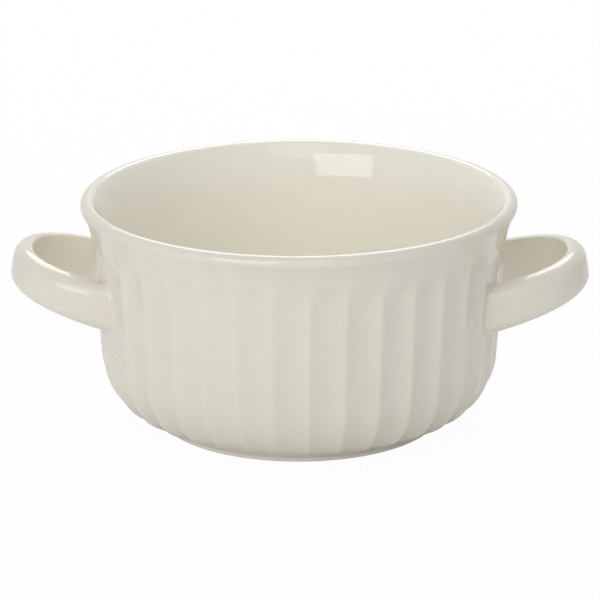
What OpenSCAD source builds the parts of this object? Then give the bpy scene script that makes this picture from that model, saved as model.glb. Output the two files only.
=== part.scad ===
// Two-handled soup crock in fluted stoneware, cast and glazed.
// Origin: centre of the foot's resting face. +Z up, handles along X.
// Sizes are those of the finished, glazed crock. The clay lies one glaze thickness under them.

/* [Bowl] */
// Height from the resting face to the top of the rim
crock_h = 70; // [62:1:78]
// Radius over the rounded edge of the rim
rim_r = 65.8; // [60:0.2:72]
// Overhang of the rim past the neck
flare_w = 3.4; // [3:0.1:4.4]
// Height of the flared rim, from the neck to the top
flare_h = 14.2; // [13:0.2:17]
// Thickness of the cast wall and floor, glaze included
wall_t = 4.3; // [3.6:0.1:5]
// Angle by which the wall leans out on its way up
wall_lean = 3.6; // [2:0.1:5]
// Radius of the round between wall and base
belly_r = 22; // [19:0.1:24]
// Thickness of the glaze
glaze_t = 0.4; // [0.3:0.05:0.6]

/* [Flutes] */
// Number of flutes round the wall
flute_count = 36; // [30:1:42]
// Radius of the hollow of each flute
flute_r = 16; // [14:0.5:20]
// Depth of a flute's hollow under the line of the plain neck
flute_depth = 1; // [0.8:0.05:1.4]
// Distance from the top of the rim down to the flutes' ends
flute_drop = 8.8; // [8:0.2:11]
// Height over which the flutes fade into the plain neck
flute_fade_h = 8; // [4:0.2:9]
// Height by which a flute's end drops from its middle to its arrises
flute_arch = 0.6; // [0:0.2:2]
// Angle round the belly over which the flutes fade out at the foot
flute_foot_fade = 36; // [20:1:50]
// Angle of the first arris from the front, towards the right handle
flute_turn = 2.74; // [0:0.01:10]

/* [Foot] */
// Distance by which the foot stands out past the centre of the belly's round
foot_out = 4.3; // [3.4:0.1:5.2]
// Width of the foot's standing ring
foot_w = 5; // [3:0.5:8]
// Height of the foot under the base
foot_h = 1; // [0.9:0.05:1.6]
// Rounding of the foot's lower edges
foot_edge_r = 0.4; // [0.2:0.1:0.5]

/* [Handles] */
// Reach of a handle past the neck
handle_out = 24.4; // [22:0.1:28]
// Half width of the loop, to the middle of the strap
handle_half_w = 22; // [19:0.2:24]
// Fullness of the loop's plan, two for an oval and more for a squarer one
loop_fullness = 2.3; // [2:0.1:3]
// Thickness of the strap
strap_t = 5.2; // [5.1:0.1:6.6]
// Height of the strap at its roots
strap_h = 14; // [12:0.2:16]
// Height of the strap in the middle of the tip
strap_tip_h = 12.4; // [10:0.2:14]
// Rounding of the strap's outer edges
strap_edge_r = 3.9; // [2.6:0.1:4]
// Rounding of the strap's edges towards the bowl
strap_inner_r = 1; // [0.8:0.05:1]
// Angle by which the strap's top leans in, in the middle of the tip
strap_lean = 10; // [0:1:12]
// Angle at which the handles rise
handle_rise = 16.4; // [0:0.2:20]
// Distance from the top of the rim down to the strap's middle at its roots
handle_drop = 29.1; // [25:0.1:34]
// Distance from the neck in to where the loop starts to curve
handle_inset = 4.8; // [4:0.1:6]
// Width of the slip roll that is smoothed round each joint
slip_w = 0.9; // [0.7:0.1:2]
// Length along the strap over which the slip is smoothed out
slip_len = 3; // [2.4:0.2:6]

/* [Hidden] */
$fn = 96;
// Distance by which a cut runs past what it cuts
overrun = 2;
// Least width of the slip roll, at its thin outer end
slip_end_w = 0.15;
glaze_tint = [0.87, 0.85, 0.80];
inside_tint = [0.88, 0.85, 0.78];
clay_tint = [0.80, 0.76, 0.69];
slip_tint = [0.78, 0.73, 0.65];

// Direction in which the crock's front faces
front = -90;

neck_r = rim_r - flare_w;
flare_z = crock_h - flare_h;
// The wall's middle line ends in the lip's centre
lip_r = wall_t / 2;
lip = [rim_r - lip_r, crock_h - lip_r];
// Outward normal of the leaning wall, in the section's plane
wall_normal = [cos(wall_lean), -sin(wall_lean)];
neck = [neck_r, flare_z];
// The flare is the arc that leaves the neck along the wall and meets the lip smoothly
flare_r = (norm(neck - lip) ^ 2 - lip_r ^ 2) / (2 * (lip_r - wall_normal * (neck - lip)));
flare_centre = neck + flare_r * wall_normal;
// The round of the belly meets the leaning wall smoothly, and stands a little under the base
belly_sink = flute_depth / 4;
belly_z = foot_h - belly_sink + belly_r;
belly_x = neck_r + ((belly_z - flare_z) * sin(wall_lean) - belly_r) / cos(wall_lean);
belly = [belly_x, belly_z];
foot_r = belly_x + foot_out;

// Angles at which the flare runs into the lip, seen from the flare's centre
lip_angle = atan2(lip[1] - flare_centre[1], lip[0] - flare_centre[0]);
// Underside of the clay floor, and its upper side under the inside glaze
floor_low = foot_h;
floor_high = belly_z - belly_r + wall_t - glaze_t;

flute_step = 360 / flute_count;
// Faces across each flute, and along each arc of the bowl's outline
flute_columns = 3;
belly_steps = 5;
inside_steps = 6;
fade_steps = 4;
flare_steps = 3;
lip_steps = 3;
// Faces along each arc of the inside glaze, a multiple of those of the clay under it
coat_steps = 9;

// Handles: the loop's plan is half an oval, from one root over the tip to the other
handle_root_x = neck_r - handle_inset;
handle_z = crock_h - handle_drop;
loop_reach = handle_inset + handle_out - strap_t / 2;
root_run = 2 * wall_t;
// Faces along a loop, along the slip and round each edge of the strap
loop_steps = 18;
slip_steps = 3;
edge_steps = 2;
// Only the flutes behind a handle matter where its ends are cut to fit
handle_span = 40;

// Solid with the given outlines as its cross sections, each the same number of points.
// An outline runs anticlockwise, seen so that the next one lies behind it.
// Round the bowl the last outline is joined to the first, else both ends are closed.
module skinned(outlines, joined) {
    count = len(outlines);
    n = len(outlines[0]);
    points = [for (o = outlines) each o];
    sides = [for (c = [0 : (joined ? count - 1 : count - 2)]) for (r = [0 : n - 1])
        let (a = c * n + r, b = c * n + (r + 1) % n,
             a2 = (c + 1) % count * n + r, b2 = (c + 1) % count * n + (r + 1) % n)
        each [[a, b, b2], [a, b2, a2]]];
    ends = joined ? [] : [[for (r = [0 : n - 1]) n - 1 - r],
                          [for (r = [0 : n - 1]) (count - 1) * n + r]];
    polyhedron(points, concat(sides, ends), convexity = 8);
}

// Outline with its points in the opposite order
function reversed(outline) = [for (i = [len(outline) - 1 : -1 : 0]) outline[i]];

// Outline stood upright round the bowl's axis, in the plane of one column of faces
function upright(outline, column) =
    let (turn = front + flute_turn + column * flute_step / flute_columns)
    [for (p = outline) [p[0] * cos(turn), p[0] * sin(turn), p[1]]];

// Share of a flute's half width at which a column of faces stands, one at an arris
function flute_share(column) = abs(2 * (column % flute_columns) / flute_columns - 1);

// Rise of a flute's hollow, square to its bottom, at a share of its half width and a radius
function hollow_rise(share, radius, depth) =
    let (aside = radius * sin(share * flute_step / 2), hollow = flute_r + depth)
    hollow - sqrt(hollow ^ 2 - aside ^ 2) + aside ^ 2 / (2 * radius);

// Angle round the belly at which it meets the foot, for the bottoms of the flutes
function belly_low(depth) = -acos((foot_r - belly_x) / (belly_r - flute_depth - depth));

// Slow start and slow end of a blend, at a share of its way
function eased(way) = way ^ 2 * (3 - 2 * way);

// Point on the surface of a flute, at an angle round the belly
function belly_point(angle, share, depth) =
    let (normal = [cos(angle), sin(angle)],
         bottom = belly + (belly_r - flute_depth - depth) * normal,
         grown = eased(min(1, (angle - belly_low(depth)) / flute_foot_fade)))
    bottom + hollow_rise(share, bottom[0], depth) * grown * normal;

// Radius of a flute's straight shaft at a height
function shaft_r(height, share, depth) =
    let (low = belly_point(-wall_lean, share, depth))
    low[0] + (height - low[1]) * tan(wall_lean);

// Radius of the plain outer surface of neck and flare at a height
function plain_r(height, depth) =
    height < flare_centre[1]
        ? neck_r + (height - flare_z) * tan(wall_lean) - depth / cos(wall_lean)
        : flare_centre[0] - sqrt((flare_r + depth) ^ 2 - (height - flare_centre[1]) ^ 2);

// Outer outline from the foot over belly, flute and flare to the crest of the lip.
// The flute fades out slowly at both ends of its fading length and faster between.
function outside_outline(share, depth) =
    let (low = belly_low(depth),
         top = crock_h - flute_drop - flute_arch * share ^ 2,
         flare_a = 180 - asin((top - flare_centre[1]) / (flare_r + depth)))
    concat(
        [for (i = [0 : belly_steps])
            belly_point(low + (-wall_lean - low) * i / belly_steps, share, depth)],
        [for (i = [0 : fade_steps])
            let (way = i / fade_steps,
                 height = top - flute_fade_h * (1 - way),
                 flute = shaft_r(height, share, depth),
                 plain = plain_r(height, depth))
            [flute + (plain - flute) * eased(way), height]],
        [for (i = [1 : flare_steps])
            let (a = flare_a + (lip_angle - flare_a) * i / flare_steps)
            flare_centre + (flare_r + depth) * [cos(a), sin(a)]],
        [for (i = [1 : lip_steps])
            let (a = lip_angle - 180 + (270 - lip_angle) * i / lip_steps)
            lip + (lip_r - depth) * [cos(a), sin(a)]]);

// Inner outline of the clay from the lip down to the floor, its faces just outside the glaze
function inside_outline() =
    let (far = wall_t - glaze_t,
         snug = (belly_r - far) / cos((90 - wall_lean) / (2 * inside_steps)))
    concat(
        [for (i = [1 : lip_steps])
            let (a = 90 + (lip_angle - 90) * i / lip_steps)
            lip + (lip_r - glaze_t) * [cos(a), sin(a)]],
        [for (i = [1 : flare_steps])
            let (a = lip_angle + (180 - wall_lean - lip_angle) * i / flare_steps)
            flare_centre + (flare_r + far) * [cos(a), sin(a)]],
        [for (i = [0 : inside_steps - 1])
            let (a = -wall_lean - (90 - wall_lean) * i / inside_steps)
            belly + snug * [cos(a), sin(a)]],
        [[belly_x, floor_high]]);

// Outline of the inside glaze's surface from the crest of the lip to the middle of the floor,
// at a depth under the finished inside
function coat_outline(depth) =
    concat(
        [for (i = [0 : coat_steps])
            let (a = 90 + (lip_angle - 90) * i / coat_steps)
            lip + (lip_r - depth) * [cos(a), sin(a)]],
        [for (i = [1 : coat_steps])
            let (a = lip_angle + (180 - wall_lean - lip_angle) * i / coat_steps)
            flare_centre + (flare_r + wall_t - depth) * [cos(a), sin(a)]],
        [for (i = [0 : coat_steps])
            let (a = -wall_lean - (90 - wall_lean) * i / coat_steps)
            belly + (belly_r - wall_t + depth) * [cos(a), sin(a)]],
        [[0, belly_z - belly_r + wall_t - depth]]);

// Clay wall behind a handle, as a block whose outer face is the wall's own fluted face
module wall_behind(left) {
    middle = round(((left ? 180 : 0) - front - flute_turn) / flute_step * flute_columns);
    side = round(handle_span / flute_step * flute_columns);
    skinned([for (c = [middle - side : middle + side])
        let (outside = outside_outline(flute_share(c), glaze_t),
             face = [for (i = [belly_steps - 2 : belly_steps + 1]) outside[i]])
        upright(concat([[foot_r - foot_w, face[0][1]]], face,
                       [[foot_r - foot_w, face[len(face) - 1][1]]]), c)], false);
}

// Outline of the strap at a share of the way from the loop's tip to its roots, its surface
// a depth under the finished one. Towards the tip it leans in at its top.
function strap_outline(share, depth) =
    let (high = (strap_tip_h + (strap_h - strap_tip_h) * share) / 2,
         lean = strap_lean * (1 - share))
    [for (quarter = [0 : 3]) for (i = [0 : edge_steps])
        let (angle = 90 * (quarter + i / edge_steps),
             out = quarter == 0 || quarter == 3 ? 1 : -1,
             up = quarter < 2 ? 1 : -1,
             edge = out > 0 ? strap_edge_r : strap_inner_r,
             p = [out * (strap_t / 2 - edge), up * (high - edge)]
                 + (edge - depth) * [cos(angle), sin(angle)])
        [p[0] * cos(lean) - p[1] * sin(lean), p[1] * cos(lean) + p[0] * sin(lean)]];

// Outline of the strap at an angle round the oval, stood square to the loop's run
function station(angle, depth) =
    let (along = cos(angle) ^ (2 / loop_fullness),
         aside = sign(angle) * abs(sin(angle)) ^ (2 / loop_fullness),
         out = [handle_half_w * cos(angle) ^ (2 - 2 / loop_fullness),
                loop_reach * sign(angle) * abs(sin(angle)) ^ (2 - 2 / loop_fullness)],
         side = out / norm(out),
         x = loop_reach * along)
    [for (p = strap_outline(1 - along, depth))
        [x + p[0] * side[0], handle_half_w * aside + p[0] * side[1], p[1] + x * tan(handle_rise)]];

// Angle round the oval, from its end, at which the loop has come a distance out
function from_root(run) = asin((run / loop_reach) ^ (loop_fullness / 2));

// Outline of the strap's end that still stands inside the wall
function root_station(run, depth) =
    [for (p = strap_outline(1, depth))
        [-run, -handle_half_w - p[0], p[1] - run * tan(handle_rise)]];

// Puts a handle's own plan at its height, on the left or the right
module place_handle(left)
    mirror([left ? 1 : 0, 0, 0]) translate([handle_root_x, 0, handle_z]) children();

// Whole loop of a handle: the strap's outline carried along half an oval,
// with straight ends that still stand inside the wall
module loop(depth) {
    step = slip_len / slip_steps;
    bow = 90 - from_root(slip_len + step);
    root = root_station(root_run + overrun, depth);
    angles = concat(
        [for (i = [0 : slip_steps - 1]) from_root(step * i) - 90],
        [for (i = [0 : loop_steps]) bow * (2 * i / loop_steps - 1)],
        [for (i = [slip_steps - 1 : -1 : 0]) 90 - from_root(step * i)]);
    skinned(concat([root], [for (a = angles) station(a, depth)],
                   [[for (p = root) [p[0], -p[1], p[2]]]]), false);
}

// Rolls of slip round both ends of a loop, widening towards the wall
module slip_rolls(depth)
    for (end = [0, 1]) mirror([0, end, 0])
        skinned(concat([root_station(root_run, depth - slip_w)],
            [for (i = [0 : slip_steps])
                let (rest = 1 - i / slip_steps)
                station(from_root((slip_len - depth) * i / slip_steps) - 90,
                        depth - slip_end_w - (slip_w - slip_end_w) * rest ^ 2)]), false);

// Clay of a handle, cut to fit the wall
module handle_clay(left)
    difference() {
        place_handle(left) loop(glaze_t);
        wall_behind(left);
    }

// Slip of a handle, round the strap and against the wall
module handle_slip(left)
    difference() {
        place_handle(left) slip_rolls(glaze_t);
        place_handle(left) loop(glaze_t);
        wall_behind(left);
    }

// Glaze of a handle, over strap and slip and against the wall's clay
module handle_glaze(left)
    difference() {
        place_handle(left) {
            loop(0);
            slip_rolls(0);
        }
        place_handle(left) {
            loop(glaze_t);
            slip_rolls(glaze_t);
        }
        wall_behind(left);
    }

module bowl_body() {
    count = flute_count * flute_columns;
    outlines = [for (c = [0 : count - 1])
        upright(concat([[foot_r, floor_low]], outside_outline(flute_share(c), glaze_t),
                       inside_outline()), c)];
    n = len(outlines[0]);
    // Underside and floor close the two ends of the turned outline. Each face is split along the
    // same diagonal as the glaze on it.
    points = [for (o = outlines) each o];
    sides = [for (c = [0 : count - 1]) for (r = [0 : n - 2])
        let (a = c * n + r, a2 = (c + 1) % count * n + r)
        each [[a, a + 1, a2], [a + 1, a2 + 1, a2]]];
    ends = [[for (c = [0 : count - 1]) c * n], [for (c = [0 : count - 1]) (count - c) * n - 1]];
    color(clay_tint) polyhedron(points, concat(sides, ends), convexity = 8);
}

module foot_ring()
    color(clay_tint) rotate_extrude() {
        translate([foot_r - foot_w, foot_edge_r]) square([foot_w, foot_h - foot_edge_r]);
        translate([foot_r - foot_w + foot_edge_r, 0])
            square([foot_w - 2 * foot_edge_r, foot_h]);
        for (x = [foot_r - foot_w + foot_edge_r, foot_r - foot_edge_r])
            translate([x, foot_edge_r]) circle(foot_edge_r);
    }

module left_handle() color(clay_tint) handle_clay(true);
module right_handle() color(clay_tint) handle_clay(false);
module left_handle_slip() color(slip_tint) handle_slip(true);
module right_handle_slip() color(slip_tint) handle_slip(false);
module left_handle_glaze() color(glaze_tint) handle_glaze(true);
module right_handle_glaze() color(glaze_tint) handle_glaze(false);

module inside_glaze()
    color(inside_tint) rotate_extrude()
        polygon(concat(coat_outline(0), reversed(coat_outline(glaze_t))));

module outside_glaze()
    color(glaze_tint) difference() {
        skinned([for (c = [0 : flute_count * flute_columns - 1])
            let (share = flute_share(c),
                 inner = outside_outline(share, glaze_t))
            upright(concat(outside_outline(share, 0), reversed(inner)), c)], true);
        for (left = [false, true]) place_handle(left) {
            loop(0);
            slip_rolls(0);
        }
    }

module base_glaze()
    color(glaze_tint) translate([0, 0, foot_h - glaze_t])
        cylinder(r = foot_r - foot_w, h = glaze_t);

bowl_body();
foot_ring();
left_handle();
right_handle();
left_handle_slip();
right_handle_slip();
inside_glaze();
outside_glaze();
base_glaze();
left_handle_glaze();
right_handle_glaze();
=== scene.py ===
import math

import bmesh
import bpy
import numpy as np
from mathutils import Matrix, Vector


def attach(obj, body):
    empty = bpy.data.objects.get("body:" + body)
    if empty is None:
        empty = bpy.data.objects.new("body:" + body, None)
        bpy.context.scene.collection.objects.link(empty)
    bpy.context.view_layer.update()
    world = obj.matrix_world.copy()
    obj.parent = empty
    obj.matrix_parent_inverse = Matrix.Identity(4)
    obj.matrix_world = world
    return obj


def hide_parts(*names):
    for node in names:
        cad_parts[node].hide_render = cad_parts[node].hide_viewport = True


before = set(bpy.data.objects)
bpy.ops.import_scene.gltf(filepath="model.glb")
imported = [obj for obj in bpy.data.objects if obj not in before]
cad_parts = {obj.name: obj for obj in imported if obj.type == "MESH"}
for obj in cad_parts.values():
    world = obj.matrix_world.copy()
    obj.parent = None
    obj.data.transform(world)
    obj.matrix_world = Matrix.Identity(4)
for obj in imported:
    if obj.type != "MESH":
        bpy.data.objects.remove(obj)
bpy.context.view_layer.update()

# Sizes are in millimetres and degrees here, and become metres where a mesh is made.
crock = {
    "height": 70.0,
    "rimRadius": 65.8,
    "neckRadius": 62.4,  # where the flare leaves the wall
    "neckHeight": 55.8,
    "wall": 4.3,
    "lean": 3.6,
    "bellyRadius": 22.0,
    "shell": 0.36,  # glaze as drawn, a little thinner than its room so that it clears the clay
}
flutes = {
    "count": 36,
    "hollowRadius": 16.0,
    "depth": 1.0,
    "drop": 8.8,  # from the rim down to where the flutes have faded out
    "fadeHeight": 8.0,
    "arch": 0.6,  # how much further down that is at an arris
    "footFade": 36.0,  # turn of the belly over which the flutes deepen from the foot
    "firstTurn": 2.74,  # from the middle of the front to the first arris
    "arrisRound": 0.085,  # share of half a flute
    "thinOnArris": 0.17,  # how much thinner the glaze is there
    "columns": 14,
    "crowding": 0.72,  # how much closer the columns stand at an arris, 0 for evenly
}
foot = {
    "radius": 42.58,
    "width": 5.0,
    "height": 1.0,
    "edge": 0.4,
    "fillet": 1.0,  # reach of the round between foot and belly
}
# Rows and columns of the grids.
grids = {
    "fillet": 8,
    "belly": 30,
    "shaft": 11,
    "fade": 15,
    "flare": 9,
    "lip": 16,
    "insideLip": 9,
    "insideFlare": 13,
    "insideWall": 9,
    "insideBelly": 19,
    "floor": 12,
    "footEdge": 9,
    "footSide": 4,
    "footTop": 5,
    "footTurns": 288,
    "ovalPoints": 1441,
    "strapEdge": 10,
    "strapTop": 6,
    "strapSide": 10,
    "jointRings": 9,
    "settleRings": 7,
    "loopRings": 81,
    "halvings": 34,
}
crestRow = 0.5  # degrees between the crest and the row beside it
floorMiddle = 0.2  # radius of the small disc that closes the floor
sharpAngle = 50  # turn between two faces past which their edge stays sharp
millimetre = 0.001
tiny = 1e-12  # keeps a length that is divided by from being zero


def cosd(a):
    return np.cos(np.radians(a))


def sind(a):
    return np.sin(np.radians(a))


# Smooth step from 0 to 1: 6 t^5 - 15 t^4 + 10 t^3.
def smooth(t):
    t = np.clip(t, 0, 1)
    return t * t * t * (t * (6 * t - 15) + 10)


# The wall leans outwards by a small angle, the belly's round runs into it smoothly, and the flare
# is the one arc that leaves the neck along the wall and meets the rounded lip smoothly. The belly
# is sunk a little into the foot.
lean = crock["lean"]
wallNormal = np.array([cosd(lean), -sind(lean)])
lipRadius = crock["wall"] / 2
lip = np.array([crock["rimRadius"] - lipRadius, crock["height"] - lipRadius])
neck = np.array([crock["neckRadius"], crock["neckHeight"]])
across = neck - lip
flareRadius = (across @ across - lipRadius ** 2) / (2 * (lipRadius - wallNormal @ across))
flareCentre = neck + flareRadius * wallNormal
lipAngle = math.degrees(math.atan2(lip[1] - flareCentre[1], lip[0] - flareCentre[0]))
bellySunk = flutes["depth"] / 4
bellyZ = foot["height"] - bellySunk + crock["bellyRadius"]
bellyX = crock["neckRadius"] + (
    (bellyZ - crock["neckHeight"]) * sind(lean) - crock["bellyRadius"]) / cosd(lean)
step = 360 / flutes["count"]


# Angle round the belly at which it leaves the fillet of the foot.
bellyStart = -90 + math.degrees(math.asin((foot["radius"] + foot["fillet"] - bellyX)
                                          / (crock["bellyRadius"] - flutes["depth"])))


# Share of a flute's half width, 0 in the middle and 1 at the arris, where glaze rounds it off:
# the distance d from the arris becomes sqrt(d^2 + round^2).
def fluteShare(turn):
    part = np.mod((turn + 90 - flutes["firstTurn"]) / step, 1)
    away = 1 - np.abs(2 * part - 1)
    return 1 - np.sqrt(away ** 2 + flutes["arrisRound"] ** 2)


# Rise of the hollow over its bottom: a circle's height at the lateral distance r sin(share step/2),
# plus what the turn round the axis adds.
def hollowRise(share, radius):
    aside = radius * sind(share * step / 2)
    hollow = flutes["hollowRadius"]
    return hollow - np.sqrt(hollow ** 2 - aside ** 2) + aside ** 2 / (2 * radius)


# Point of the fluted belly: the arc under the plain one by the flute's depth, plus the rise.
def bellyPoint(angle, share):
    r = bellyX + (crock["bellyRadius"] - flutes["depth"]) * cosd(angle)
    z = bellyZ + (crock["bellyRadius"] - flutes["depth"]) * sind(angle)
    rise = hollowRise(share, r) * smooth((angle - bellyStart) / flutes["footFade"])
    return r + rise * cosd(angle), z + rise * sind(angle)


# Radius of the fluted wall at a height: a straight line from the belly's upper end.
def shaftRadius(share, z):
    lowR, lowZ = bellyPoint(-lean, share)
    return lowR + (z - lowZ) * math.tan(math.radians(lean))


# Radius of the plain outside above the flutes: the flare's arc.
def plainRadius(z):
    up = np.maximum(z - flareCentre[1], 0)
    straight = crock["neckRadius"] + (z - crock["neckHeight"]) * math.tan(math.radians(lean))
    arc = flareCentre[0] - np.sqrt(flareRadius ** 2 - up ** 2)
    return np.where(z < flareCentre[1], straight, arc)


def evenly(n, start=0.0, end=1.0):
    return np.linspace(start, end, n)


# Angles of the columns round the bowl, in turn from arris to arris, crowding at each arris.
def columnTurns():
    u = evenly(flutes["columns"] + 1)[:-1]
    part = u - flutes["crowding"] * np.sin(2 * np.pi * u) / (2 * np.pi)
    ks = np.arange(flutes["count"])
    return (flutes["firstTurn"] - 90 + (ks[:, None] + part[None, :]) * step).ravel()


# Outside of the bowl in every column: foot fillet, belly, shaft, fade, flare, lip up to the crest.
def outsideSection(turns):
    share = fluteShare(turns)[:, None]
    startR, startZ = bellyPoint(bellyStart, share)
    filletZ = np.full_like(startZ, foot["height"])
    a = evenly(grids["fillet"])[None, :-1] * 90
    filletR = foot["radius"] + (startR - foot["radius"]) * (1 - cosd(a))
    filletZ = filletZ + (startZ - filletZ) * sind(a)
    angles = bellyStart + (-lean - bellyStart) * evenly(grids["belly"])[None, :]
    bellyR, bellyH = bellyPoint(angles, share)
    fadeEnd = crock["height"] - flutes["drop"] - flutes["arch"] * share ** 2
    fadeStart = fadeEnd - flutes["fadeHeight"]
    t = evenly(grids["shaft"])[None, 1:]
    shaftZ = bellyH[:, -1:] + (fadeStart - bellyH[:, -1:]) * t
    shaftR = shaftRadius(share, shaftZ)
    t = evenly(grids["fade"])[None, 1:]
    fadeZ = fadeStart + (fadeEnd - fadeStart) * t
    shaft = shaftRadius(share, fadeZ)
    fadeR = shaft + (plainRadius(fadeZ) - shaft) * smooth(t)
    topAngle = 180 - np.degrees(np.arcsin((fadeEnd - flareCentre[1]) / flareRadius))
    a = topAngle + (lipAngle - topAngle) * evenly(grids["flare"])[None, 1:]
    flareR = flareCentre[0] + flareRadius * cosd(a)
    flareZ = flareCentre[1] + flareRadius * sind(a)
    a = evenly(grids["lip"], lipAngle - 180, 90)[1:-1]
    a = np.append(a, [90 - crestRow, 90])[None, :]
    lipR = lip[0] + lipRadius * cosd(a) + 0 * share
    lipZ = lip[1] + lipRadius * sind(a) + 0 * share
    r = np.hstack([filletR, bellyR, shaftR, fadeR, flareR, lipR])
    z = np.hstack([filletZ, bellyH, shaftZ, fadeZ, flareZ, lipZ])
    return r, z


# Inside of the bowl: lip from the crest, flare, wall, belly and floor, all round the axis.
def insideSection():
    wall = crock["wall"]
    a = np.append([90, 90 + crestRow], evenly(grids["insideLip"], 90, lipAngle)[1:])
    parts = [(lip[0] + lipRadius * cosd(a), lip[1] + lipRadius * sind(a))]
    a = evenly(grids["insideFlare"], lipAngle, 180 - lean)[1:]
    parts.append((flareCentre[0] + (flareRadius + wall) * cosd(a),
                  flareCentre[1] + (flareRadius + wall) * sind(a)))
    a = evenly(grids["insideBelly"], -lean, -90)
    belly = (bellyX + (crock["bellyRadius"] - wall) * cosd(a),
             bellyZ + (crock["bellyRadius"] - wall) * sind(a))
    t = evenly(grids["insideWall"])[1:-1]
    parts.append((parts[-1][0][-1] + (belly[0][0] - parts[-1][0][-1]) * t,
                  parts[-1][1][-1] + (belly[1][0] - parts[-1][1][-1]) * t))
    parts.append(belly)
    t = evenly(grids["floor"])[1:]
    parts.append((belly[0][-1] * (1 - t) + floorMiddle * t, belly[1][-1] + 0 * t))
    return np.concatenate([p[0] for p in parts]), np.concatenate([p[1] for p in parts])


# Quads of a grid of points, whose columns, rows or both may close into a round.
def gridFaces(columns, rows, wrapColumns, wrapRows, start=0):
    c = np.arange(columns if wrapColumns else columns - 1)[:, None]
    r = np.arange(rows if wrapRows else rows - 1)[None, :]
    c2, r2 = (c + 1) % columns, (r + 1) % rows
    quads = np.stack([c * rows + r, c2 * rows + r, c2 * rows + r2, c * rows + r2], -1)
    return quads.reshape(-1, 4) + start


# A closed mesh from points in millimetres, its faces outwards and smooth but for sharp bends.
def makePiece(name, points, quads, extraFaces=()):
    mesh = bpy.data.meshes.new(name)
    faces = quads.tolist() + [list(f) for f in extraFaces]
    mesh.from_pydata((points * millimetre).tolist(), [], faces)
    mesh.validate()
    bm = bmesh.new()
    bm.from_mesh(mesh)
    bmesh.ops.recalc_face_normals(bm, faces=bm.faces)
    bm.to_mesh(mesh)
    bm.free()
    mesh.shade_smooth()
    mesh.set_sharp_from_angle(angle=math.radians(sharpAngle))
    piece = bpy.data.objects.new(name, mesh)
    bpy.context.scene.collection.objects.link(piece)
    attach(piece, "root")
    return piece


# Points of a grid stood round the axis: (r cos turn, r sin turn, z).
def turned(turns, r, z):
    return np.stack([r * cosd(turns)[:, None], r * sind(turns)[:, None],
                     np.broadcast_to(z, r.shape)], -1)


# Normals of a grid: cross product of its differences along its columns, which close into a round,
# and along its rows.
def gridNormals(grid):
    around = np.roll(grid, -1, 0) - np.roll(grid, 1, 0)
    n = np.cross(around, np.gradient(grid, axis=1))
    return n / np.maximum(np.linalg.norm(n, axis=-1, keepdims=True), tiny)


# Glaze thickness and painted light as a mask: 1 where the glaze is thick and darker, less where it is thin
# and paler, and less on the side of the handles that faces the bowl, where the paler colour is painted
# light.
def addMask(piece, values):
    attribute = piece.data.attributes.new("glazeDepthAndPaintedLight", "FLOAT", "POINT")
    attribute.data.foreach_set("value", values.astype(np.float32))


print("outside glaze")
turns = columnTurns()
outerR, outerZ = outsideSection(turns)
outer = turned(turns, outerR, outerZ)
outerNormals = gridNormals(outer)
outerNormals[:, -1] = [0, 0, 1]
inner = outer - outerNormals * crock["shell"]
inner[:, 0, 2] = foot["height"]  # the coat's lower edge stays level with the top of the foot
shell = np.concatenate([outer, inner[:, ::-1]], axis=1)
columns, rows = shell.shape[:2]
outsideGlaze = makePiece("outsideGlaze", shell.reshape(-1, 3), gridFaces(columns, rows, True, True))
mask = 1 - flutes["thinOnArris"] * fluteShare(turns)[:, None] ** 2 + 0 * shell[:, :, 0]
addMask(outsideGlaze, mask.ravel())
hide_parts("outside_glaze")

print("inside glaze")
insideR, insideZ = insideSection()
insideGrid = turned(turns, insideR[None, :] + 0 * turns[:, None], insideZ[None, :])
insideNormals = gridNormals(insideGrid)
insideNormals[:, 0] = [0, 0, 1]
insideNormals[:, -1] = [0, 0, 1]
under = insideGrid - insideNormals * crock["shell"]
columns, rows = insideGrid.shape[:2]
count = columns * rows
insidePoints = np.concatenate([insideGrid.reshape(-1, 3), under.reshape(-1, 3),
                               [[0, 0, insideZ[-1]], [0, 0, insideZ[-1] - crock["shell"]]]])
quads = np.concatenate([gridFaces(columns, rows, True, False),
                        gridFaces(columns, rows, True, False, count)])
ring = np.arange(columns)
following = (ring + 1) % columns
edge = np.stack([ring * rows, following * rows, following * rows + count, ring * rows + count], -1)
quads = np.concatenate([quads, edge])
# The middle of the floor is a fan of triangles on both sides of the coat.
fan = [[i * rows + rows - 1, j * rows + rows - 1, 2 * count] for i, j in zip(ring, following)]
fan += [[i * rows + rows - 1 + count, j * rows + rows - 1 + count, 2 * count + 1]
        for i, j in zip(ring, following)]
insideGlaze = makePiece("insideGlaze", insidePoints, quads, extraFaces=fan)
addMask(insideGlaze, np.ones(len(insidePoints)))
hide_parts("inside_glaze")


print("foot")


# Foot ring: a rounded rectangle turned round the axis, its resting edges rounded.
def footSection():
    edge = foot["edge"]
    outerX = foot["radius"]
    innerX = foot["radius"] - foot["width"]
    low = evenly(grids["footEdge"], 180, 270)
    side = evenly(grids["footSide"], edge, foot["height"])[1:]
    top = evenly(grids["footTop"], outerX, innerX)[1:-1]
    r = np.concatenate([innerX + edge + edge * cosd(low), outerX - edge + edge * cosd(low + 90),
                        np.full(len(side), outerX), top, np.full(len(side), innerX)])
    z = np.concatenate([edge + edge * sind(low), edge + edge * sind(low + 90),
                        side, np.full(len(top), foot["height"]), side[::-1]])
    return r, z


footR, footZ = footSection()
footTurns = evenly(grids["footTurns"] + 1, 0, 360)[:-1]
footGrid = turned(footTurns, footR[None, :] + 0 * footTurns[:, None], footZ[None, :])
columns, rows = footGrid.shape[:2]
footRing = makePiece("footRing", footGrid.reshape(-1, 3), gridFaces(columns, rows, True, True))
addMask(footRing, np.ones(columns * rows))
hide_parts("foot_ring")


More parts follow.
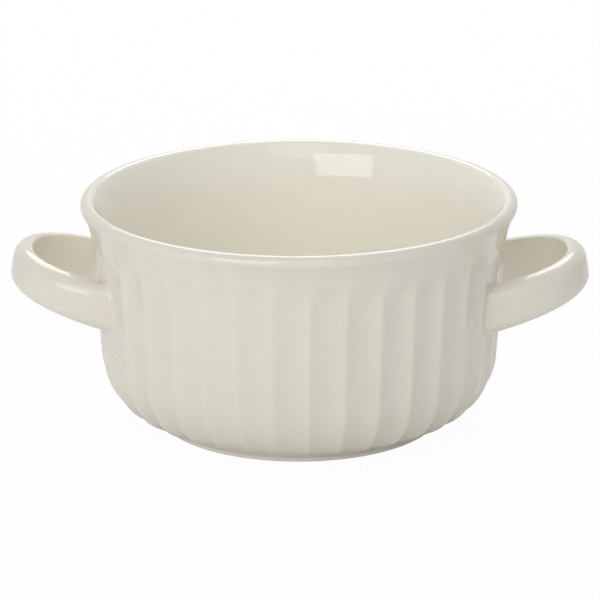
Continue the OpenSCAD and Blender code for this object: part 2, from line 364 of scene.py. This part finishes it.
print("handles")
handle = {
    "reach": 86.8,
    "halfWidth": 23.0,
    "fullness": 2.3,  # power of the oval: 2 is an ellipse, more is squarer
    "thickness": 5.2,
    "rootHeight": 14.8,
    "tipHeight": 12.4,
    "outerEdge": 3.9,
    "innerEdge": 1.0,
    "crown": 0.35,
    "backCrown": 0.4,  # share of the crown on the side that faces the bowl
    "lean": 10.0,
    "rise": {"left": 16.4, "right": 15.8},
    "rootZ": {"left": 41.5, "right": 40.8},
    "shift": {"left": 0.0, "right": 0.6},
    "rootX": 57.6,
    "fillet": 1.2,
    "settle": 7.0,  # run from the wall over which the rings of the joint even out
    "sunk": 0.05,  # how far the fillet's rim goes under the glaze of the bowl
    "search": 9.0,  # the wall is looked for this far to both sides of the strap's start
}


# Middle line of the handle in its own plan, straight inside the wall and then half an oval
# |x / reach|^n + |y / halfWidth|^n = 1.
loopReach = handle["reach"] - handle["crown"] - handle["thickness"] / 2 - handle["rootX"]
bend = 2 / handle["fullness"]
ovalAngles = evenly(grids["ovalPoints"], -90, 90)
ovalX = loopReach * np.maximum(cosd(ovalAngles), 0) ** bend
ovalY = handle["halfWidth"] * np.sign(ovalAngles) * np.abs(sind(ovalAngles)) ** bend
ovalRun = np.concatenate([[0], np.cumsum(np.hypot(np.diff(ovalX), np.diff(ovalY)))])
loopLength = ovalRun[-1]


# Point and outward side of the middle line at a run s, which may be under 0 or past the end.
def middleLine(s):
    angle = np.interp(s, ovalRun, ovalAngles)
    x = np.interp(s, ovalRun, ovalX) + np.minimum(s, 0) - np.maximum(s - loopLength, 0)
    y = np.interp(s, ovalRun, ovalY)
    sideX = handle["halfWidth"] * np.maximum(cosd(angle), 0) ** (2 - bend)
    sideY = loopReach * np.sign(angle) * np.abs(sind(angle)) ** (2 - bend)
    size = np.hypot(sideX, sideY)
    return x, y, sideX / size, sideY / size


# Outline of the strap as offsets out of and up the loop, grown by a margin: large rounds on the
# outer edges, small ones on the inner, and faces crowned by c (1 - (2 up / height)^2). At the
# tip its top leans in.
def strapOutline(share, grow):
    height = handle["tipHeight"] + (handle["rootHeight"] - handle["tipHeight"]) * share
    half = handle["thickness"] / 2
    wide, narrow = handle["outerEdge"], handle["innerEdge"]
    high = height / 2 - wide
    low = height / 2 - narrow
    out, up = [], []
    corners = ((half - wide, high, wide, 0), (narrow - half, low, narrow, 90),
               (narrow - half, -low, narrow, 180), (half - wide, -high, wide, 270))
    for x, y, edge, start in corners:
        a = start + evenly(grids["strapEdge"], 0, 90)
        out.append(x + (edge + grow) * cosd(a))
        up.append(y + (edge + grow) * sind(a))
    sides = []
    for i in range(4):
        t = evenly(grids["strapSide" if i % 2 else "strapTop"])[1:-1]
        j = (i + 1) % 4
        sides.append((out[i], up[i]))
        sides.append((out[i][-1] + (out[j][0] - out[i][-1]) * t, up[i][-1] + (up[j][0] - up[i][-1]) * t))
    out = np.concatenate([part[0] for part in sides])
    up = np.concatenate([part[1] for part in sides])
    swell = 1 - np.clip(np.abs(up) / (height / 2), 0, 1) ** 2
    out = out + handle["crown"] * swell * np.clip(out / half, -handle["backCrown"], 1)
    turn = handle["lean"] * (1 - share)
    return out * cosd(turn) - up * sind(turn), up * cosd(turn) + out * sind(turn)


# World place of a point of the handle: the middle line climbs by the tangent of the rise.
def worldPlace(s, out, up, side):
    x, y, sideX, sideY = middleLine(s)
    worldX = handle["rootX"] + handle["shift"][side] + x + out * sideX
    worldZ = handle["rootZ"][side] + x * math.tan(math.radians(handle["rise"][side])) + up
    return np.stack([-worldX if side == "left" else worldX, y + out * sideY, worldZ], -1)


# Distance of a point outside the fluted wall.
def outsideWall(p):
    turn = np.degrees(np.arctan2(p[..., 1], p[..., 0]))
    return np.hypot(p[..., 0], p[..., 1]) - shaftRadius(fluteShare(turn), p[..., 2])


# Run at which each line along the strap meets the wall, by halving an interval around the end.
def wallRun(out, up, side, end):
    inside = np.full(out.shape, -handle["search"])
    outside = np.full(out.shape, handle["search"])
    for _ in range(grids["halvings"]):
        half = (inside + outside) / 2
        s = half if end == 0 else loopLength - half
        clear = outsideWall(worldPlace(s, out, up, side)) > 0
        outside = np.where(clear, half, outside)
        inside = np.where(clear, inside, half)
    return (inside + outside) / 2


# The strap carried along its middle line. At the wall each line along the strap bends away in a
# quarter round, so that strap and wall meet in a fillet that follows the flutes.
def handleGrid(side):
    radius = handle["fillet"]
    rings = []
    for end in (0, 1):
        part = []
        for a in evenly(grids["jointRings"], 90, 0):
            out, up = strapOutline(1, radius * (1 - cosd(a)))
            run = wallRun(out, up, side, end) + radius * (1 - sind(a)) - handle["sunk"] * sind(a)
            part.append((run, out, up))
        run = part[-1][0]
        for t in evenly(grids["settleRings"])[1:-1]:
            s = run + (handle["settle"] - run) * t
            part.append((s, *strapOutline(1 - t * middleLine(handle["settle"])[0] / loopReach, 0)))
        rings.append([worldPlace(s if end == 0 else loopLength - s, out, up, side)
                      for s, out, up in part])
    middle = []
    for s in evenly(grids["loopRings"], handle["settle"], loopLength - handle["settle"]):
        out, up = strapOutline(1 - middleLine(s)[0] / loopReach, 0)
        middle.append(worldPlace(np.full(out.shape, s), out, up, side))
    return np.array(rings[0] + middle + rings[1][::-1])


# Painted light: the side of the strap that faces the bowl is painted paler, standing in for the light that
# reaches it.
towardsBowl = -strapOutline(1, 0)[0] / (handle["thickness"] / 2)
thickness = 1 - smooth(towardsBowl)

for side in ("left", "right"):
    print(side, "handle")
    grid = handleGrid(side)
    rings, around = grid.shape[:2]
    normals = gridNormals(grid.transpose(1, 0, 2)).transpose(1, 0, 2)
    if side == "right":
        normals = -normals  # its grid is a mirror image of the left one's
    innerGrid = grid - normals * crock["shell"]
    loopGrid = np.concatenate([grid, innerGrid[::-1]])
    piece = makePiece(side + "HandleGlaze", loopGrid.reshape(-1, 3),
                      gridFaces(2 * rings, around, True, True))
    # painted light: the paler inner side of the strap goes into the glaze mask here
    addMask(piece, np.tile(thickness, 2 * rings))
    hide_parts(side + "_handle_glaze", side + "_handle_slip")
    ends = [range(around), range((rings - 1) * around, rings * around)]
    piece = makePiece(side + "HandleClay", innerGrid.reshape(-1, 3),
                      gridFaces(rings, around, False, True), extraFaces=ends)
    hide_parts(side + "_handle")


print("materials")
glaze = {
    "outside": (0.776, 0.741, 0.648, 1),
    # painted light: the inside colour is a lighter copy of the outside glaze, standing in for the extra
    # light inside the bowl
    "inside": (0.922, 0.894, 0.806, 1),
    "paler": 1.12,  # how much lighter the glaze looks where it is thin, and where light is painted on the handles' inner sides
    "mottle": 0.02,
    "mottleScale": 90,
    "mottleDetail": 4,
    "roughness": 0.05,
    "rougher": 0.1,
    "ior": 1.55,
    "waveScale": 45,
    "waveDetail": 1,
    "waveStrength": 0.35,
    "waveHeight": 0.0002,
}
clay = {
    "colour": (0.70, 0.62, 0.50, 1),
    "speck": (0.55, 0.45, 0.33, 1),
    "wipedBelow": 0.25,  # height under which the foot is bare
    "grainScale": 1400,
    "grainDetail": 5,
    "speckEnd": 0.3,
    "clearStart": 0.55,
    "roughness": 0.85,
    "grainStrength": 0.5,
    "grainHeight": 0.0001,
}


# A shader node with its sockets and settings given by name.
def addNode(tree, kind, **values):
    node = tree.nodes.new(kind)
    for key, value in values.items():
        if key in node.inputs:
            node.inputs[key].default_value = value
        else:
            setattr(node, key, value)
    return node


# What every glaze shares: mottled colour between thick and thin, paler where light is painted on, uneven
# gloss and low waves.
def glazeSurface():
    group = bpy.data.node_groups.new("glazeSurface", "ShaderNodeTree")
    for name, way, kind in (("Place", "INPUT", "Vector"), ("Depth", "INPUT", "Float"),
                            ("Thick Colour", "INPUT", "Color"), ("Pale Colour", "INPUT", "Color"),
                            ("Colour", "OUTPUT", "Color"), ("Roughness", "OUTPUT", "Float"),
                            ("Height", "OUTPUT", "Float")):
        group.interface.new_socket(name, in_out=way, socket_type="NodeSocket" + kind)
    given = group.nodes.new("NodeGroupInput").outputs
    wanted = group.nodes.new("NodeGroupOutput").inputs
    mottle = addNode(group, "ShaderNodeTexNoise", Scale=glaze["mottleScale"], Detail=glaze["mottleDetail"])
    group.links.new(given["Place"], mottle.inputs["Vector"])
    blend = addNode(group, "ShaderNodeMix", data_type="RGBA")
    group.links.new(given["Depth"], blend.inputs[0])
    group.links.new(given["Pale Colour"], blend.inputs[6])
    group.links.new(given["Thick Colour"], blend.inputs[7])
    tone = addNode(group, "ShaderNodeMapRange")
    tone.inputs["To Min"].default_value = 1 - glaze["mottle"]
    tone.inputs["To Max"].default_value = 1 + glaze["mottle"]
    group.links.new(mottle.outputs["Fac"], tone.inputs["Value"])
    scaled = addNode(group, "ShaderNodeHueSaturation")
    group.links.new(blend.outputs[2], scaled.inputs["Color"])
    group.links.new(tone.outputs["Result"], scaled.inputs["Value"])
    group.links.new(scaled.outputs["Color"], wanted["Colour"])
    rough = addNode(group, "ShaderNodeMapRange")
    rough.inputs["To Min"].default_value = glaze["roughness"]
    rough.inputs["To Max"].default_value = glaze["rougher"]
    group.links.new(mottle.outputs["Fac"], rough.inputs["Value"])
    group.links.new(rough.outputs["Result"], wanted["Roughness"])
    wave = addNode(group, "ShaderNodeTexNoise", Scale=glaze["waveScale"], Detail=glaze["waveDetail"])
    group.links.new(given["Place"], wave.inputs["Vector"])
    group.links.new(wave.outputs["Fac"], wanted["Height"])
    return group


def glazeMaterial(name, colour):
    material = bpy.data.materials.new(name)
    material.use_nodes = True
    tree = material.node_tree
    shader = tree.nodes["Principled BSDF"]
    shader.inputs["IOR"].default_value = glaze["ior"]
    coords = tree.nodes.new("ShaderNodeTexCoord")
    depth = addNode(tree, "ShaderNodeAttribute", attribute_name="glazeDepthAndPaintedLight")
    surface = tree.nodes.new("ShaderNodeGroup")
    surface.node_tree = sharedGlaze
    surface.inputs["Thick Colour"].default_value = colour
    surface.inputs["Pale Colour"].default_value = [c * glaze["paler"] for c in colour[:3]] + [1]
    tree.links.new(coords.outputs["Object"], surface.inputs["Place"])
    tree.links.new(depth.outputs["Fac"], surface.inputs["Depth"])
    tree.links.new(surface.outputs["Colour"], shader.inputs["Base Color"])
    tree.links.new(surface.outputs["Roughness"], shader.inputs["Roughness"])
    bump = addNode(tree, "ShaderNodeBump", Strength=glaze["waveStrength"], Distance=glaze["waveHeight"])
    tree.links.new(surface.outputs["Height"], bump.inputs["Height"])
    tree.links.new(bump.outputs["Normal"], shader.inputs["Normal"])
    return material


# Matt clay with dark specks and a fine grain, both from one noise.
def clayMaterial():
    material = bpy.data.materials.new("bareStoneware")
    material.use_nodes = True
    tree = material.node_tree
    shader = tree.nodes["Principled BSDF"]
    coords = tree.nodes.new("ShaderNodeTexCoord")
    grain = tree.nodes.new("ShaderNodeTexNoise")
    grain.inputs["Scale"].default_value = clay["grainScale"]
    grain.inputs["Detail"].default_value = clay["grainDetail"]
    tree.links.new(coords.outputs["Object"], grain.inputs["Vector"])
    ramp = tree.nodes.new("ShaderNodeValToRGB")
    ramp.color_ramp.elements[0].position = clay["speckEnd"]
    ramp.color_ramp.elements[0].color = clay["speck"]
    ramp.color_ramp.elements[1].position = clay["clearStart"]
    ramp.color_ramp.elements[1].color = clay["colour"]
    tree.links.new(grain.outputs["Fac"], ramp.inputs["Fac"])
    tree.links.new(ramp.outputs["Color"], shader.inputs["Base Color"])
    shader.inputs["Roughness"].default_value = clay["roughness"]
    bump = tree.nodes.new("ShaderNodeBump")
    bump.inputs["Strength"].default_value = clay["grainStrength"]
    bump.inputs["Distance"].default_value = clay["grainHeight"]
    tree.links.new(grain.outputs["Fac"], bump.inputs["Height"])
    tree.links.new(bump.outputs["Normal"], shader.inputs["Normal"])
    return material


sharedGlaze = glazeSurface()
ivoryGlaze = glazeMaterial("ivoryGlaze", glaze["outside"])
paintedLightGlaze = glazeMaterial("paintedLightGlaze", glaze["inside"])
bareStoneware = clayMaterial()
for name in ("outsideGlaze", "leftHandleGlaze", "rightHandleGlaze"):
    bpy.data.objects[name].data.materials.append(ivoryGlaze)
# Painted light: the inside of the bowl and the foot get the lighter copy of the glaze, standing in for the
# light they get.
for piece in (insideGlaze, footRing):
    piece.data.materials.append(paintedLightGlaze)
# The glaze is wiped off the resting face of the foot.
footRing.data.materials.append(bareStoneware)
footQuads = gridFaces(*footGrid.shape[:2], True, True)
faceHeights = footGrid.reshape(-1, 3)[footQuads, 2].mean(1)
footRing.data.polygons.foreach_set("material_index",
                                   (faceHeights < clay["wipedBelow"]).astype(np.int32))
for name in ("leftHandleClay", "rightHandleClay"):
    bpy.data.objects[name].data.materials.append(bareStoneware)
for node, material in (("bowl_body", bareStoneware), ("base_glaze", ivoryGlaze)):
    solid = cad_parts[node]
    if not solid.material_slots:
        solid.data.materials.append(material)
    for place in solid.material_slots:
        place.material = material


print("floor and light")
studio = {
    "floorHalf": 4.0,
    "floorDrop": 0.0001,  # keeps the floor clear of the resting face
    "floorWhite": 0.96,  # share of plain white that the camera sees
    "floorColour": (0.92, 0.92, 0.92, 1),
    "worldLight": 0.5,
    "worldMirrored": 0.85,  # brightness of the world in mirror images
    "aim": (0, 0, 0.03),
}
# Places and sizes of the lamps in metres.
softboxes = {
    "keySoftbox": {"place": (-0.50, -0.93, 0.36), "size": 0.67, "radiance": 2.25},
    "backSoftbox": {"place": (0, 0.75, 0.85), "size": 0.72, "radiance": 3.05},
    "frontSoftbox": {"place": (0, -0.85, 0.8), "size": 0.6, "radiance": 0.9},
}


# White to the camera almost everywhere, and still darkened by the shadow under the crock.
def floorPlane():
    half, low = studio["floorHalf"], -studio["floorDrop"]
    mesh = bpy.data.meshes.new("floor")
    mesh.from_pydata([(-half, -half, low), (half, -half, low), (half, half, low),
                      (-half, half, low)], [], [(0, 1, 2, 3)])
    floor = bpy.data.objects.new("floor", mesh)
    bpy.context.scene.collection.objects.link(floor)
    material = bpy.data.materials.new("paleFloor")
    material.use_nodes = True
    tree = material.node_tree
    tree.nodes.clear()
    output = tree.nodes.new("ShaderNodeOutputMaterial")
    diffuse = tree.nodes.new("ShaderNodeBsdfDiffuse")
    diffuse.inputs["Color"].default_value = studio["floorColour"]
    glow = tree.nodes.new("ShaderNodeEmission")
    path = tree.nodes.new("ShaderNodeLightPath")
    share = tree.nodes.new("ShaderNodeMath")
    share.operation = "MULTIPLY"
    share.inputs[1].default_value = studio["floorWhite"]
    mix = tree.nodes.new("ShaderNodeMixShader")
    tree.links.new(path.outputs["Is Camera Ray"], share.inputs[0])
    tree.links.new(share.outputs[0], mix.inputs[0])
    tree.links.new(diffuse.outputs[0], mix.inputs[1])
    tree.links.new(glow.outputs[0], mix.inputs[2])
    tree.links.new(mix.outputs[0], output.inputs["Surface"])
    floor.data.materials.append(material)


# White to the camera, and dimmer as a light and in mirror images.
def whiteWorld():
    world = bpy.data.worlds.new("whiteStudio")
    world.use_nodes = True
    tree = world.node_tree
    background = tree.nodes["Background"]
    path = tree.nodes.new("ShaderNodeLightPath")
    strength = addNode(tree, "ShaderNodeMath", operation="MAXIMUM")
    for ray, most, socket in (("Is Camera Ray", 1, 0), ("Is Glossy Ray", studio["worldMirrored"], 1)):
        share = tree.nodes.new("ShaderNodeMapRange")
        share.inputs["To Min"].default_value = studio["worldLight"]
        share.inputs["To Max"].default_value = most
        tree.links.new(path.outputs[ray], share.inputs["Value"])
        tree.links.new(share.outputs["Result"], strength.inputs[socket])
    tree.links.new(strength.outputs["Value"], background.inputs["Strength"])
    background.inputs["Color"].default_value = (1, 1, 1, 1)
    bpy.context.scene.world = world


# A square lamp that looks equally bright from each side: energy = radiance pi size^2.
def softbox(name, place, size, radiance):
    light = bpy.data.lights.new(name, "AREA")
    light.shape = "SQUARE"
    light.size = size
    light.energy = radiance * math.pi * size ** 2
    lamp = bpy.data.objects.new(name, light)
    lamp.location = place
    towards = Vector(studio["aim"]) - Vector(place)
    lamp.rotation_euler = towards.to_track_quat("-Z", "Y").to_euler()
    bpy.context.scene.collection.objects.link(lamp)


floorPlane()
whiteWorld()
for name, values in softboxes.items():
    softbox(name, **values)


print("camera")
# Fitted to the photo's outline. Its centre and scale are in pixels of a square frame.
view = {
    "elevation": 17.76,
    "distance": 1.08,
    "aimHeight": 0.0343,
    "pixelsPerMetre": 3288,
    "centre": (299.2, 307.5),
    "roll": -0.13,
    "frame": 600,
    "sensorWidth": 36,
    "clipEnd": 50,
}


def addCamera():
    lens = bpy.data.cameras.new("camera")
    lens.sensor_width = view["sensorWidth"]
    lens.sensor_fit = "HORIZONTAL"
    focal = view["pixelsPerMetre"] * view["distance"]
    lens.lens = focal / view["frame"] * lens.sensor_width
    lens.shift_x = (view["frame"] / 2 - view["centre"][0]) / view["frame"]
    lens.shift_y = (view["centre"][1] - view["frame"] / 2) / view["frame"]
    lens.clip_end = view["clipEnd"]
    camera = bpy.data.objects.new("camera", lens)
    angle = math.radians(view["elevation"])
    camera.location = (0, -view["distance"] * math.cos(angle),
                       view["aimHeight"] + view["distance"] * math.sin(angle))
    turn = Matrix.Rotation(math.radians(90 - view["elevation"]), 4, "X")
    roll = Matrix.Rotation(math.radians(view["roll"]), 4, "Z")
    camera.rotation_euler = (turn @ roll).to_euler()
    bpy.context.scene.collection.objects.link(camera)
    bpy.context.scene.camera = camera


addCamera()
bpy.context.scene.view_settings.view_transform = "Standard"
